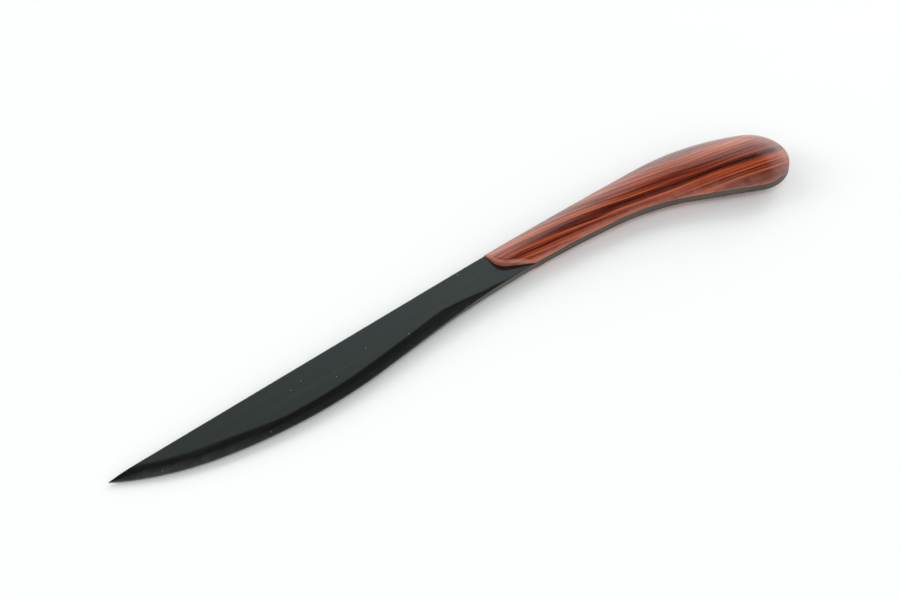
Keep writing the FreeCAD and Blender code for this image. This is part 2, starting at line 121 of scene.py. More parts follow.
@dataclass
class FolderPlan:
    """Outline of the folder seen square to its flat, as one line of tangent arcs and straights."""

    spine_length: float = 103.0
    back_radius: float = 1836.0
    shoulder_radius: float = 74.4
    butt_radius: float = 10.9
    butt_along: float = 205.6
    butt_drop: float = 20.2
    under_angle: float = 28.0
    grip_radius: float = 68.4
    neck_radius: float = 283.0
    neck_along: float = 124.6
    neck_width: float = 11.45
    flank_angle: float = 6.1
    belly_radius: float = 148.5
    belly_width: float = 15.85
    tip_radius: float = 74.5
    turn_start: float = 117.0
    turn_power: float = 1.8

    @cached_property
    def butt(self) -> Arc:
        """Round end of the handle."""
        return Arc(complex(self.butt_along, -self.butt_drop), self.butt_radius)

    @cached_property
    def back(self) -> Arc:
        """Barely bent back of the handle."""
        return Arc(complex(self.spine_length, -self.back_radius), self.back_radius)

    @cached_property
    def shoulder(self) -> Arc:
        """Back of the handle where it falls towards the butt."""
        centre = meet(
            self.back.centre,
            self.back_radius - self.shoulder_radius,
            self.butt.centre,
            self.shoulder_radius - self.butt_radius,
            left=True,
        )
        return Arc(centre, self.shoulder_radius)

    @cached_property
    def neck(self) -> Arc:
        """Long shallow hollow at the neck."""
        return Arc(complex(self.neck_along, -self.neck_width - self.neck_radius), self.neck_radius)

    @cached_property
    def under_way(self) -> complex:
        """Direction of the straight underside in front of the butt."""
        angle = math.radians(self.under_angle)
        return complex(math.cos(angle), -math.sin(angle))

    @cached_property
    def under_end(self) -> complex:
        """Point where the straight underside runs into the round butt."""
        return self.butt.centre + self.under_way * complex(0, -1) * self.butt_radius

    @cached_property
    def grip(self) -> Arc:
        """Hollow for the fingers, tangent to the underside and to the neck."""
        start = self.under_end + self.under_way * complex(0, -1) * self.grip_radius
        offset = start - self.neck.centre
        middle = (offset * self.under_way.conjugate()).real
        spread = middle**2 - abs(offset) ** 2 + (self.neck_radius - self.grip_radius) ** 2
        return Arc(start - self.under_way * (middle + math.sqrt(spread)), self.grip_radius)

    @cached_property
    def under_start(self) -> complex:
        """Point where the finger hollow runs into the straight underside."""
        return self.grip.centre + self.under_way * complex(0, 1) * self.grip_radius

    @cached_property
    def flank_end(self) -> complex:
        """Point where the straight flank runs into the neck."""
        angle = math.radians(self.flank_angle)
        return self.neck.centre + complex(-math.sin(angle), math.cos(angle)) * self.neck_radius

    @cached_property
    def belly(self) -> Arc:
        """Full part of the cutting edge."""
        angle = math.radians(self.flank_angle)
        height = self.belly_radius - self.belly_width
        foot_height = height - self.belly_radius * math.cos(angle)
        foot_along = self.flank_end.real - (self.flank_end.imag - foot_height) / math.tan(angle)
        along = foot_along - self.belly_radius * math.sin(angle)
        return Arc(complex(along, height), self.belly_radius)

    @cached_property
    def tip(self) -> Arc:
        """Cutting edge sweeping up to the tip."""
        reach = self.belly_radius - self.tip_radius
        centre = meet(self.belly.centre, reach, 0j, self.tip_radius, left=False)
        return Arc(centre, self.tip_radius)

    @cached_property
    def last_station(self) -> float:
        """Place on the back where the section through the middle of the round butt leaves it."""
        return self.butt_along + self.butt_radius * math.sin(math.radians(self.under_angle))

    def back_height(self, along: np.ndarray) -> np.ndarray:
        """Return the height of the spine and back at these places."""
        joints = (
            self.spine_length,
            self.back.towards(self.shoulder).real,
            self.shoulder.towards(self.butt).real,
        )
        choices = (0 * along, self.back.above(along), self.shoulder.above(along))
        tests = [along <= joint for joint in joints]
        return np.select(tests, choices, self.butt.above(along))

    def belly_height(self, along: np.ndarray) -> np.ndarray:
        """Return the height of the cutting edge and the handle's underside at these places."""
        joints = (
            self.belly.towards(self.tip).real,
            self.belly.centre.real + self.belly_radius * math.sin(math.radians(self.flank_angle)),
            self.flank_end.real,
            self.neck.towards(self.grip).real,
            self.under_start.real,
            self.under_end.real,
        )
        flank = self.flank_end.imag + (along - self.flank_end.real) * math.tan(
            math.radians(self.flank_angle)
        )
        under = self.under_start.imag - (along - self.under_start.real) * math.tan(
            math.radians(self.under_angle)
        )
        choices = (
            self.tip.below(along),
            self.belly.below(along),
            flank,
            self.neck.above(along),
            self.grip.above(along),
            under,
        )
        tests = [along <= joint for joint in joints]
        return np.select(tests, choices, self.butt.below(along))

    def stations(self, along: np.ndarray) -> tuple[np.ndarray, np.ndarray, np.ndarray]:
        """Lay sections across the folder, turning with the handle.

        Args:
            along: Where each section leaves the back. Past the last station the sections are
                chords of the round butt, and the value counts on along the butt's own axis.

        Returns:
            Each section's end on the belly side and its end on the back, as x + y j, and how far
            past the middle of the round butt it is.
        """
        on_back = np.minimum(along, self.last_station)
        share = np.clip(
            (on_back - self.turn_start) / (self.last_station - self.turn_start), 0.0, 1.0
        )
        slant = np.tan(np.radians(self.under_angle * share**self.turn_power))
        back_height = self.back_height(on_back)
        belly_along = on_back.copy()
        for _ in range(40):
            belly_along = on_back - (back_height - self.belly_height(belly_along)) * slant
        belly = belly_along + 1j * self.belly_height(belly_along)
        back = on_back + 1j * back_height
        past = np.clip(along - self.last_station, 0.0, self.butt_radius)
        half = np.sqrt(np.maximum(self.butt_radius**2 - past**2, 0.0))
        middle = self.butt.centre + self.under_way * past
        upward = self.under_way * 1j
        beyond = past > 0
        belly = np.where(beyond, middle - upward * half, belly)
        back = np.where(beyond, middle + upward * half, back)
        return belly, back, past


@dataclass
class NosePlan:
    """Line in which the scales end on the blade: a straight wall, a bend and a slant."""

    along: float = 122.7
    radius: float = 4.6
    slope: float = 32.0
    toe_along: float = 136.0
    toe_drop: float = 14.4

    @property
    def start(self) -> float:
        """Station just in front of the whole nose line."""
        return self.along - 4.0

    @property
    def end(self) -> float:
        """Station just behind the whole nose line."""
        return self.toe_along + 8.0

    @cached_property
    def bend_end(self) -> complex:
        """Point where the bend runs into the slant."""
        turn = math.pi / 2 - math.radians(self.slope)
        along = self.along + self.radius * (1 - math.cos(turn))
        drop = self.toe_drop - (self.toe_along - along) * math.tan(math.radians(self.slope))
        return complex(along, -drop)

    @cached_property
    def bend_centre(self) -> complex:
        """Centre of the bend."""
        turn = math.pi / 2 - math.radians(self.slope)
        return complex(
            self.along + self.radius, self.bend_end.imag + self.radius * math.sin(turn)
        )

    def line(self, height: np.ndarray) -> np.ndarray:
        """Return where the nose line lies along the spine at these heights."""
        drop = np.clip(self.bend_centre.imag - height, 0.0, self.radius)
        bend = self.bend_centre.real - np.sqrt(self.radius**2 - drop**2)
        slant = self.bend_end.real + (self.bend_end.imag - height) / math.tan(
            math.radians(self.slope)
        )
        tests = [height > self.bend_centre.imag, height > self.bend_end.imag]
        return np.select(tests, [np.full_like(height, self.along), bend], slant)

    def squareness(self, height: np.ndarray) -> np.ndarray:
        """Return how squarely the nose line crosses the spine's direction, from 0 to 1."""
        step = 0.05
        lean = (self.line(height + step) - self.line(height - step)) / (2 * step)
        return 1 / np.sqrt(1 + lean**2)


PLAN = FolderPlan()
NOSE = NosePlan()


def nose_stations(across: np.ndarray) -> np.ndarray:
    """Find the station at which each lengthwise line of a piece crosses the nose line.

    Args:
        across: Place of each line between the belly side, 0, and the back, 1.

    Returns:
        The station for each line.
    """
    low = np.full_like(across, NOSE.start)
    high = np.full_like(across, NOSE.end)
    for _ in range(50):
        middle = (low + high) / 2
        belly, back, _ = PLAN.stations(middle)
        point = belly + (back - belly) * across
        inside = point.real > NOSE.line(point.imag)
        high = np.where(inside, middle, high)
        low = np.where(inside, low, middle)
    return high


# ------------------------------------------------------------------ meshes


@dataclass
class Placing:
    """Where the folder lies at rest, taken from the frame's front flat.

    Attributes:
        tilt: How far the handle is raised, in degrees.
        lean: How far the folder leans about its spine, in degrees.
        flat_point: The front flat's point in the folder's own frame.
    """

    tilt: float = 1.018
    lean: float = -1.13
    flat_point: tuple[float, float, float] = (70.0, -5.0, 0.9)

    @cached_property
    def matrix(self) -> Matrix:
        """Matrix from the folder's own millimetres to the frame's metres."""
        turn = Matrix.Rotation(math.radians(self.lean), 4, "X") @ Matrix.Rotation(
            math.radians(-self.tilt), 4, "Y"
        )
        mounts = {mount["name"]: mount for mount in frame["record"]["mounts"]}
        target = Vector(mounts["front_flat"]["pos_m"])
        shift = target - (turn @ Vector(self.flat_point)) * MM
        return Matrix.Translation(shift) @ turn @ Matrix.Scale(MM, 4)


PLACING = Placing()


def grid_faces(rows: int, columns: int, first: int, flip: bool) -> list[tuple[int, ...]]:
    """List the quads of a grid of vertices that is stored row by row."""
    faces = []
    for row in range(rows - 1):
        for column in range(columns - 1):
            a = first + row * columns + column
            quad = (a, a + columns, a + columns + 1, a + 1)
            faces.append(quad[::-1] if flip else quad)
    return faces


def skin_faces(rows: int, columns: int) -> list[tuple[int, ...]]:
    """List the faces of a closed slab made of an upper grid and then a lower grid."""
    count = rows * columns
    faces = grid_faces(rows, columns, 0, False) + grid_faces(rows, columns, count, True)
    rim = list(range(columns))
    rim += [row * columns + columns - 1 for row in range(1, rows)]
    rim += [(rows - 1) * columns + column for column in range(columns - 2, -1, -1)]
    rim += [row * columns for row in range(rows - 2, 0, -1)]
    for here, there in zip(rim, rim[1:] + rim[:1]):
        faces.append((here, there, there + count, here + count))
    return faces


def set_figure(mesh: bpy.types.Mesh, name: str, values: np.ndarray) -> None:
    """Store one number for each vertex of a mesh."""
    mesh.attributes.new(name, "FLOAT", "POINT").data.foreach_set("value", values.ravel())


def tidy_mesh(mesh: bpy.types.Mesh, sharp_angle: float, merge: float = 0.0005) -> None:
    """Merge doubles, drop flat slivers, turn faces outwards and shade smoothly.

    Args:
        mesh: The mesh to tidy.
        sharp_angle: Angle in degrees from which an edge stays sharp.
        merge: Largest distance between vertices that are merged.
    """
    work = bmesh.new()
    work.from_mesh(mesh)
    bmesh.ops.remove_doubles(work, verts=work.verts, dist=merge)
    bmesh.ops.dissolve_degenerate(work, edges=work.edges, dist=merge)
    bmesh.ops.recalc_face_normals(work, faces=work.faces)
    work.to_mesh(mesh)
    work.free()
    mesh.shade_smooth()
    mesh.set_sharp_from_angle(angle=math.radians(sharp_angle))


def new_object(name: str, mesh: bpy.types.Mesh) -> bpy.types.Object:
    """Put a mesh into the scene as an object at the origin."""
    item = bpy.data.objects.new(name, mesh)
    bpy.context.scene.collection.objects.link(item)
    return item


def settle(item: bpy.types.Object) -> None:
    """Turn an object's modifiers into plain mesh."""
    graph = bpy.context.evaluated_depsgraph_get()
    mesh = bpy.data.meshes.new_from_object(item.evaluated_get(graph), depsgraph=graph)
    item.modifiers.clear()
    old = item.data
    item.data = mesh
    mesh.name = item.name
    bpy.data.meshes.remove(old)


@dataclass
class DowelHoles:
    """Holes for the two hidden dowels.

    Attributes:
        diameter: Diameter of a hole.
        reach: How far from the tang's mid-plane a hole goes.
        places: Where the holes are, as x + y j.
    """

    diameter: float = 3.1
    reach: float = 2.25
    places: tuple[complex, ...] = (complex(146.0, -6.4), complex(196.0, -16.4))

    def drill(self, item: bpy.types.Object) -> None:
        """Cut the holes out of an object that is still in the folder's own frame."""
        for place in self.places:
            bpy.ops.mesh.primitive_cylinder_add(
                vertices=48,
                radius=self.diameter / 2,
                depth=2 * self.reach,
                location=(place.real, place.imag, 0.0),
            )
            bit = bpy.context.object
            cut = item.modifiers.new("dowel_hole", "BOOLEAN")
            cut.operation = "DIFFERENCE"
            cut.solver = "EXACT"
            cut.object = bit
            settle(item)
            bpy.data.objects.remove(bit)


HOLES = DowelHoles()


def drill_and_dress(
    item: bpy.types.Object, sharp_angle: float, *materials: bpy.types.Material
) -> None:
    """Drill a piece for the dowels, tidy its mesh and give it its materials.

    Args:
        item: The piece, still in the folder's own frame.
        sharp_angle: Angle in degrees from which an edge stays sharp.
        materials: Its materials, in order.
    """
    HOLES.drill(item)
    tidy_mesh(item.data, sharp_angle)
    item.data.materials.clear()
    for material in materials:
        item.data.materials.append(material)


# ------------------------------------------------------------------ node trees


SOCKET_TYPES = {"Vector": "NodeSocketVector", "Geometry": "NodeSocketGeometry"}


class Sheet:
    """Short way to add and wire the nodes of one tree."""

    def __init__(self, tree: bpy.types.NodeTree) -> None:
        """Keep the tree that nodes are added to."""
        self.tree = tree

    def node(
        self, kind: str, inputs: dict[str | int, object] | None = None, **settings: object
    ) -> bpy.types.Node:
        """Add a node.

        Args:
            kind: The node's type.
            inputs: Values or sockets for its inputs, by name or number.
            settings: Its own properties.

        Returns:
            The new node.
        """
        made = self.tree.nodes.new(kind)
        for name, value in settings.items():
            setattr(made, name, value)
        for key, value in (inputs or {}).items():
            self.feed(made.inputs[key], value)
        return made

    def feed(self, socket: bpy.types.NodeSocket, value: object) -> None:
        """Wire a socket into another, or set its value."""
        if isinstance(value, bpy.types.NodeSocket):
            self.tree.links.new(value, socket)
        else:
            socket.default_value = value

    def math(self, operation: str, *values: object) -> bpy.types.NodeSocket:
        """Add a Math node and return its result."""
        inputs = dict(enumerate(values))
        return self.node("ShaderNodeMath", inputs, operation=operation).outputs[0]

    def spread(
        self, value: object, low: float, high: float, to_low: float, to_high: float
    ) -> bpy.types.NodeSocket:
        """Map a value from one range to another, with soft ends, and return the result."""
        inputs = {0: value, 1: low, 2: high, 3: to_low, 4: to_high}
        kind = "ShaderNodeMapRange"
        return self.node(kind, inputs, interpolation_type="SMOOTHSTEP").outputs[0]

    def vector(self, x: object, y: object, z: object) -> bpy.types.NodeSocket:
        """Combine three values into a vector."""
        return self.node("ShaderNodeCombineXYZ", {0: x, 1: y, 2: z}).outputs[0]

    def noise(self, where: object, detail: float, roughness: float) -> bpy.types.NodeSocket:
        """Add a noise of unit size and return its value."""
        inputs = {"Vector": where, "Scale": 1.0, "Detail": detail, "Roughness": roughness}
        return self.node("ShaderNodeTexNoise", inputs).outputs[0]

    def mix(self, share: object, one: object, two: object) -> bpy.types.NodeSocket:
        """Mix two colours and return the result."""
        made = self.node("ShaderNodeMix", {0: share, 6: one, 7: two}, data_type="RGBA")
        return made.outputs[2]

    def ramp(self, value: object, stops: "tuple[Stop, ...]") -> bpy.types.NodeSocket:
        """Add a colour ramp with these stops and return its colour."""
        made = self.node("ShaderNodeValToRGB", {0: value})
        points = made.color_ramp.elements
        while len(points) < len(stops):
            points.new(0.5)
        for point, stop in zip(points, stops):
            point.position = stop.place
            point.color = (*stop.colour, 1.0)
        return made.outputs[0]


@dataclass(frozen=True)
class Stop:
    """One stop of a colour ramp."""

    place: float
    colour: tuple[float, float, float]


def new_group(
    name: str, kind: str, inputs: dict[str, float | None], outputs: tuple[str, ...]
) -> tuple[Sheet, bpy.types.Node, bpy.types.Node]:
    """Start a node group with named sockets, numbers unless SOCKET_TYPES says otherwise.

    Args:
        name: The group's name.
        kind: The tree's type.
        inputs: Default value of each input, by name; None where it has to be wired.
        outputs: Name of each output.

    Returns:
        The group's sheet, its input node and its output node.
    """
    group = bpy.data.node_groups.new(name, kind)
    for way, labels in (("INPUT", inputs), ("OUTPUT", outputs)):
        for label in labels:
            socket_type = SOCKET_TYPES.get(label, "NodeSocketFloat")
            socket = group.interface.new_socket(label, in_out=way, socket_type=socket_type)
            if way == "INPUT" and inputs[label] is not None:
                socket.default_value = inputs[label]
    sheet = Sheet(group)
    return sheet, sheet.node("NodeGroupInput"), sheet.node("NodeGroupOutput")


def new_material(name: str) -> tuple[bpy.types.Material, Sheet, bpy.types.Node]:
    """Start a material and return it with its sheet and its shader."""
    material = bpy.data.materials.new(name)
    material.use_nodes = True
    sheet = Sheet(material.node_tree)
    return material, sheet, material.node_tree.nodes["Principled BSDF"]


def build_grain_group() -> bpy.types.NodeTree:
    """Build the timber grain: wavy growth bands, fine streaks, and pores along the grain.

    Returns:
        The group. Its Vector input is in millimetres with X along the grain.
    """
    sheet, given, result = new_group(
        "timber_grain",
        "ShaderNodeTree",
        {
            "Vector": None,
            "Band Width": 2.0,
            "Band Length": 90.0,
            "Layer Tilt": 0.6,
            "Waviness": 1.5,
            "Pore Width": 0.12,
            "Bend Start": 1000.0,
            "Bend": 0.0036,
            "Bend Span": 48.0,
            "Heart Place": 0.0,
            "Heart Width": 3.0,
        },
        ("Band", "Streak", "Pore", "Heart", "Vein"),
    )
    parts = sheet.node("ShaderNodeSeparateXYZ", {0: given.outputs["Vector"]})
    along, level, deep = parts.outputs
    past = sheet.math("SUBTRACT", along, given.outputs["Bend Start"])
    past = sheet.math("MAXIMUM", past, 0.0)
    curved = sheet.math("MINIMUM", past, given.outputs["Bend Span"])
    straight = sheet.math("SUBTRACT", past, curved)
    fall = sheet.math("MULTIPLY_ADD", curved, 0.5, straight)
    fall = sheet.math("MULTIPLY", sheet.math("MULTIPLY", fall, curved), given.outputs["Bend"])
    across = sheet.math("ADD", level, fall)
    width = given.outputs["Band Width"]
    length = given.outputs["Band Length"]
    tilt = given.outputs["Layer Tilt"]
    slow = sheet.vector(
        sheet.math("DIVIDE", along, 48.0),
        sheet.math("DIVIDE", across, 11.0),
        sheet.math("DIVIDE", deep, 11.0),
    )
    sway = sheet.math("SUBTRACT", sheet.noise(slow, 1.5, 0.5), 0.5)
    sway = sheet.math("MULTIPLY", sway, given.outputs["Waviness"])
    layer = sheet.math("MULTIPLY", across, sheet.math("COSINE", tilt))
    layer = sheet.math("MULTIPLY_ADD", deep, sheet.math("SINE", tilt), layer)
    layer = sheet.math("ADD", layer, sway)
    band_place = sheet.vector(
        sheet.math("DIVIDE", along, length), sheet.math("DIVIDE", layer, width), 0.0
    )
    streak_place = sheet.vector(
        sheet.math("DIVIDE", along, sheet.math("MULTIPLY", length, 0.35)),
        sheet.math("DIVIDE", layer, sheet.math("MULTIPLY", width, 0.2)),
        3.7,
    )
    fine_place = sheet.vector(
        sheet.math("DIVIDE", along, sheet.math("MULTIPLY", length, 0.14)),
        sheet.math("DIVIDE", layer, sheet.math("MULTIPLY", width, 0.075)),
        9.1,
    )
    fine = sheet.noise(fine_place, 1.0, 0.5)
    streak = sheet.noise(streak_place, 2.0, 0.6)
    streak = sheet.math("MULTIPLY_ADD", sheet.math("SUBTRACT", fine, streak), 0.4, streak)
    off_heart = sheet.math("SUBTRACT", layer, given.outputs["Heart Place"])
    off_heart = sheet.math("ABSOLUTE", off_heart)
    off_heart = sheet.math("DIVIDE", off_heart, given.outputs["Heart Width"])
    heart = sheet.spread(off_heart, 0.0, 1.0, 1.0, 0.0)
    heart = sheet.math("MULTIPLY", heart, sheet.spread(along, 86.0, 124.0, 0.0, 1.0))
    vein_place = sheet.vector(
        sheet.math("DIVIDE", along, sheet.math("MULTIPLY", length, 0.45)),
        sheet.math("DIVIDE", layer, sheet.math("MULTIPLY", width, 0.3)),
        15.3,
    )
    vein = sheet.math("SUBTRACT", sheet.noise(vein_place, 1.0, 0.5), 0.5)
    vein = sheet.spread(sheet.math("ABSOLUTE", vein), 0.008, 0.045, 1.0, 0.0)
    pore_width = given.outputs["Pore Width"]
    pore_place = sheet.vector(
        sheet.math("DIVIDE", along, sheet.math("MULTIPLY", pore_width, 22.0)),
        sheet.math("DIVIDE", across, pore_width),
        sheet.math("DIVIDE", deep, pore_width),
    )
    pore = sheet.spread(sheet.noise(pore_place, 0.0, 0.5), 0.64, 0.76, 0.0, 1.0)
    band = sheet.noise(band_place, 2.0, 0.6)
    for number, value in enumerate((band, streak, pore, heart, vein)):
        sheet.feed(result.inputs[number], value)
    return sheet.tree


def build_handling_group() -> bpy.types.NodeTree:
    """Build the marks of handling: rare specks of dust and hair-fine rub marks.

    Returns:
        The group. Its Vector input is in millimetres with X along the grain.
    """
    sheet, given, result = new_group(
        "handling_marks",
        "ShaderNodeTree",
        {
            "Vector": None,
            "Speck Spacing": 4.0,
            "Speck Size": 0.12,
            "Speck Share": 0.12,
        },
        ("Speck", "Rub"),
    )
    where = given.outputs["Vector"]
    spacing = given.outputs["Speck Spacing"]
    scale = sheet.math("DIVIDE", 1.0, spacing)
    cells = sheet.node(
        "ShaderNodeTexVoronoi", {"Vector": where, "Scale": scale}, voronoi_dimensions="2D"
    )
    distance = sheet.math("MULTIPLY", cells.outputs["Distance"], spacing)
    dot = sheet.math("LESS_THAN", distance, given.outputs["Speck Size"])
    chosen = sheet.node("ShaderNodeSeparateColor", {0: cells.outputs["Color"]}).outputs[0]
    kept = sheet.math("LESS_THAN", chosen, given.outputs["Speck Share"])
    parts = sheet.node("ShaderNodeSeparateXYZ", {0: where})
    slanted = sheet.math("MULTIPLY_ADD", parts.outputs[0], 0.13, parts.outputs[1])
    rub_place = sheet.vector(
        sheet.math("DIVIDE", parts.outputs[0], 9.0), sheet.math("DIVIDE", slanted, 0.07), 0.0
    )
    rub = sheet.spread(sheet.noise(rub_place, 1.0, 0.5), 0.66, 0.80, 0.0, 1.0)
    sheet.feed(result.inputs["Speck"], sheet.math("MULTIPLY", dot, kept))
    sheet.feed(result.inputs["Rub"], rub)
    return sheet.tree


def build_rim_sheen_and_wear_group() -> bpy.types.NodeTree:
    """Build a broken rim mask: painted sheen on flanks, real wear and painted glint on edges.

    Returns:
        The group. Flank is painted sheen on sloping faces; Edge is real edge wear with painted
        glint.
    """
    sheet, given, result = new_group(
        "rim_sheen_and_wear",
        "ShaderNodeTree",
        {
            "Vector": None,
            "Gentle Slope": 0.97,
            "Steep Slope": 0.82,
        },
        ("Flank", "Edge"),
    )
    patch = sheet.node("ShaderNodeVectorMath", {0: given.outputs["Vector"]}, operation="SCALE")
    patch.inputs["Scale"].default_value = 0.35
    cloud = sheet.spread(sheet.noise(patch.outputs[0], 3.0, 0.6), 0.3, 0.7, 0.55, 1.0)
    # Painted sheen: faces that slope away from the flat are marked to get a paler colour.
    normal = sheet.node("ShaderNodeNewGeometry").outputs["Normal"]
    upward = sheet.node("ShaderNodeSeparateXYZ", {0: normal}).outputs[2]
    slope = sheet.math("ABSOLUTE", upward)
    steep = sheet.math("SUBTRACT", given.outputs["Gentle Slope"], slope)
    span = sheet.math("SUBTRACT", given.outputs["Gentle Slope"], given.outputs["Steep Slope"])
    flank = sheet.spread(sheet.math("DIVIDE", steep, span), 0.0, 1.0, 0.0, 1.0)
    # The piece's own edge figure: partly real edge wear, partly a painted glint.
    glint_and_wear = sheet.node("ShaderNodeAttribute", attribute_name="worn_and_glinting_edge").outputs["Fac"]
    sheet.feed(result.inputs["Flank"], sheet.math("MULTIPLY", flank, cloud))
    sheet.feed(result.inputs["Edge"], sheet.math("MULTIPLY", glint_and_wear, cloud))
    return sheet.tree


# ------------------------------------------------------------------ finishes


DUST = (0.2, 0.22, 0.22)


@dataclass(frozen=True)
class TimberFinish:
    """One polished or sanded timber.

    Attributes:
        name: The material's name.
        stops: Colours from the darkest band to the brightest.
        band_width: Width of a growth band in millimetres.
        band_length: Length over which a band keeps its look.
        layer_tilt: Lean of the growth layers in radians.
        waviness: How far the bands wander, in millimetres.
        grain_turn: Direction of the grain in the plan, in degrees.
        offset: Where in the tree the piece was cut, in millimetres.
        bend_start: Place from which the grain bends downwards, in millimetres.
        heart_place: Where the dark heart runs, in millimetres across the grain.
        heart_width: Half width of the dark heart in millimetres.
        heart_depth: How much darker the heart is.
        contrast: Strength of the bands.
        tone: Middle of the bands on the colour scale.
        roughness: Roughness of the polish between the pores.
        rough_gain: How much rougher pores and rub marks are.
        pore_depth: Strength of the pores in the bump.
        speck_share: Share of the surface's cells that hold a speck of dust.
        ior: Refractive index of the polish.
        vein_depth: How much darker the thin veins are.
        sheen_tint: Tint of the polish's reflections.
        rim_colour: Paler colour of the painted flank sheen and of edge wear with painted glint.
        rim_share: How much of that painted sheen shows on sloping flanks.
        edge_share: How much of it shows on the piece's edge, as real wear with a painted glint.
    """

    name: str
    stops: tuple[Stop, ...]
    band_width: float
    band_length: float
    layer_tilt: float
    waviness: float
    offset: tuple[float, float, float]
    contrast: float
    roughness: float
    rough_gain: float
    pore_depth: float
    speck_share: float
    ior: float
    grain_turn: float = 0.0
    bend_start: float = 1000.0
    tone: float = 0.5
    heart_place: float = 0.0
    heart_width: float = 3.0
    heart_depth: float = 0.0
    vein_depth: float = 0.0
    sheen_tint: tuple[float, float, float] = (1.0, 1.0, 1.0)
    rim_colour: tuple[float, float, float] = (0.04, 0.045, 0.046)
    rim_share: float = 0.0
    edge_share: float = 0.0

    def build(
        self, grain: bpy.types.NodeTree, handling: bpy.types.NodeTree, rim: bpy.types.NodeTree
    ) -> bpy.types.Material:
        """Build the material.

        Args:
            grain: The timber grain group.
            handling: The handling marks group.
            rim: The rim group of painted sheen and edge wear.

        Returns:
            The finished material.
        """
        material, sheet, shader = new_material(self.name)
        place = sheet.node("ShaderNodeTexCoord").outputs["Object"]
        mapping = sheet.node("ShaderNodeMapping", {"Vector": place}, vector_type="POINT")
        mapping.inputs["Scale"].default_value = (1 / MM,) * 3
        turned = sheet.node("ShaderNodeMapping", {"Vector": mapping.outputs[0]})
        turned.inputs["Location"].default_value = self.offset
        turned.inputs["Rotation"].default_value = (0.0, 0.0, math.radians(self.grain_turn))
        where = turned.outputs[0]
        timber = sheet.node(
            "ShaderNodeGroup",
            {
                "Vector": where,
                "Band Width": self.band_width,
                "Band Length": self.band_length,
                "Layer Tilt": self.layer_tilt,
                "Waviness": self.waviness,
                "Bend Start": self.bend_start,
                "Heart Place": self.heart_place,
                "Heart Width": self.heart_width,
            },
            node_tree=grain,
        )
        marks = sheet.node(
            "ShaderNodeGroup",
            {"Vector": where, "Speck Share": self.speck_share},
            node_tree=handling,
        )
        band = sheet.math("SUBTRACT", timber.outputs["Band"], 0.5)
        streak = sheet.math("SUBTRACT", timber.outputs["Streak"], 0.5)
        tone = sheet.math("MULTIPLY_ADD", streak, 0.8, band)
        tone = sheet.math("MULTIPLY_ADD", tone, self.contrast, self.tone)
        tone = sheet.math("MULTIPLY_ADD", timber.outputs["Heart"], -self.heart_depth, tone)
        tone = sheet.math("MULTIPLY_ADD", timber.outputs["Vein"], -self.vein_depth, tone)
        colour = sheet.ramp(tone, self.stops)
        pore_share = sheet.math("MULTIPLY", timber.outputs["Pore"], 0.55)
        colour = sheet.mix(pore_share, colour, (*self.stops[0].colour, 1.0))
        # Painted sheen on sloping flanks, real wear with painted glint on the edge.
        glint_and_wear = sheet.node("ShaderNodeGroup", {"Vector": where}, node_tree=rim)
        flank = sheet.math("MULTIPLY", glint_and_wear.outputs["Flank"], self.rim_share)
        edge = sheet.math("MULTIPLY", glint_and_wear.outputs["Edge"], self.edge_share)
        pale = sheet.math("MAXIMUM", flank, edge)
        colour = sheet.mix(pale, colour, (*self.rim_colour, 1.0))
        colour = sheet.mix(marks.outputs["Speck"], colour, (*DUST, 1.0))
        sheet.feed(shader.inputs["Base Color"], colour)
        # Rub marks, pores and the painted sheen mask also roughen the polish.
        wear = sheet.math("MULTIPLY_ADD", marks.outputs["Rub"], 0.7, timber.outputs["Pore"])
        wear = sheet.math("MULTIPLY_ADD", pale, 0.6, wear)
        rough = sheet.math("MULTIPLY_ADD", wear, self.rough_gain, self.roughness)
        rough = sheet.math("MULTIPLY_ADD", streak, 0.12, rough)
        sheet.feed(shader.inputs["Roughness"], rough)
        height = sheet.math("MULTIPLY", timber.outputs["Pore"], -self.pore_depth)
        height = sheet.math("MULTIPLY_ADD", streak, self.pore_depth * 0.6, height)
        bump = sheet.node(
            "ShaderNodeBump", {"Height": height, "Strength": 0.35, "Distance": 0.02 * MM}
        )
        sheet.feed(shader.inputs["Normal"], bump.outputs[0])
        shader.inputs["IOR"].default_value = self.ior
        shader.inputs["Specular Tint"].default_value = (*self.sheen_tint, 1.0)
        return material


EBONY = TimberFinish(
    name="polished_ebony",
    stops=(
        Stop(0.0, (0.0035, 0.0033, 0.0032)),
        Stop(0.55, (0.0055, 0.0052, 0.0050)),
        Stop(1.0, (0.014, 0.010, 0.008)),
    ),
    band_width=3.2,
    band_length=160.0,
    layer_tilt=0.5,
    waviness=2.0,
    offset=(12.0, 4.0, 0.0),
    contrast=1.6,
    roughness=0.16,
    rough_gain=0.10,
    pore_depth=0.3,
    speck_share=0.10,
    ior=1.53,
    sheen_tint=(0.76, 0.98, 0.95),
    # Cutting edge painted paler: real wear with a painted glint.
    edge_share=1.0,
)

EBONY_EDGE = TimberFinish(
    name="sanded_ebony_edge",
    stops=(
        Stop(0.0, (0.026, 0.024, 0.019)),
        Stop(0.5, (0.046, 0.041, 0.031)),
        Stop(1.0, (0.075, 0.064, 0.047)),
    ),
    band_width=2.2,
    band_length=40.0,
    layer_tilt=1.2,
    waviness=1.0,
    offset=(0.0, 0.0, 2.0),
    contrast=1.6,
    roughness=0.42,
    rough_gain=0.15,
    pore_depth=0.8,
    speck_share=0.02,
    ior=1.5,
)

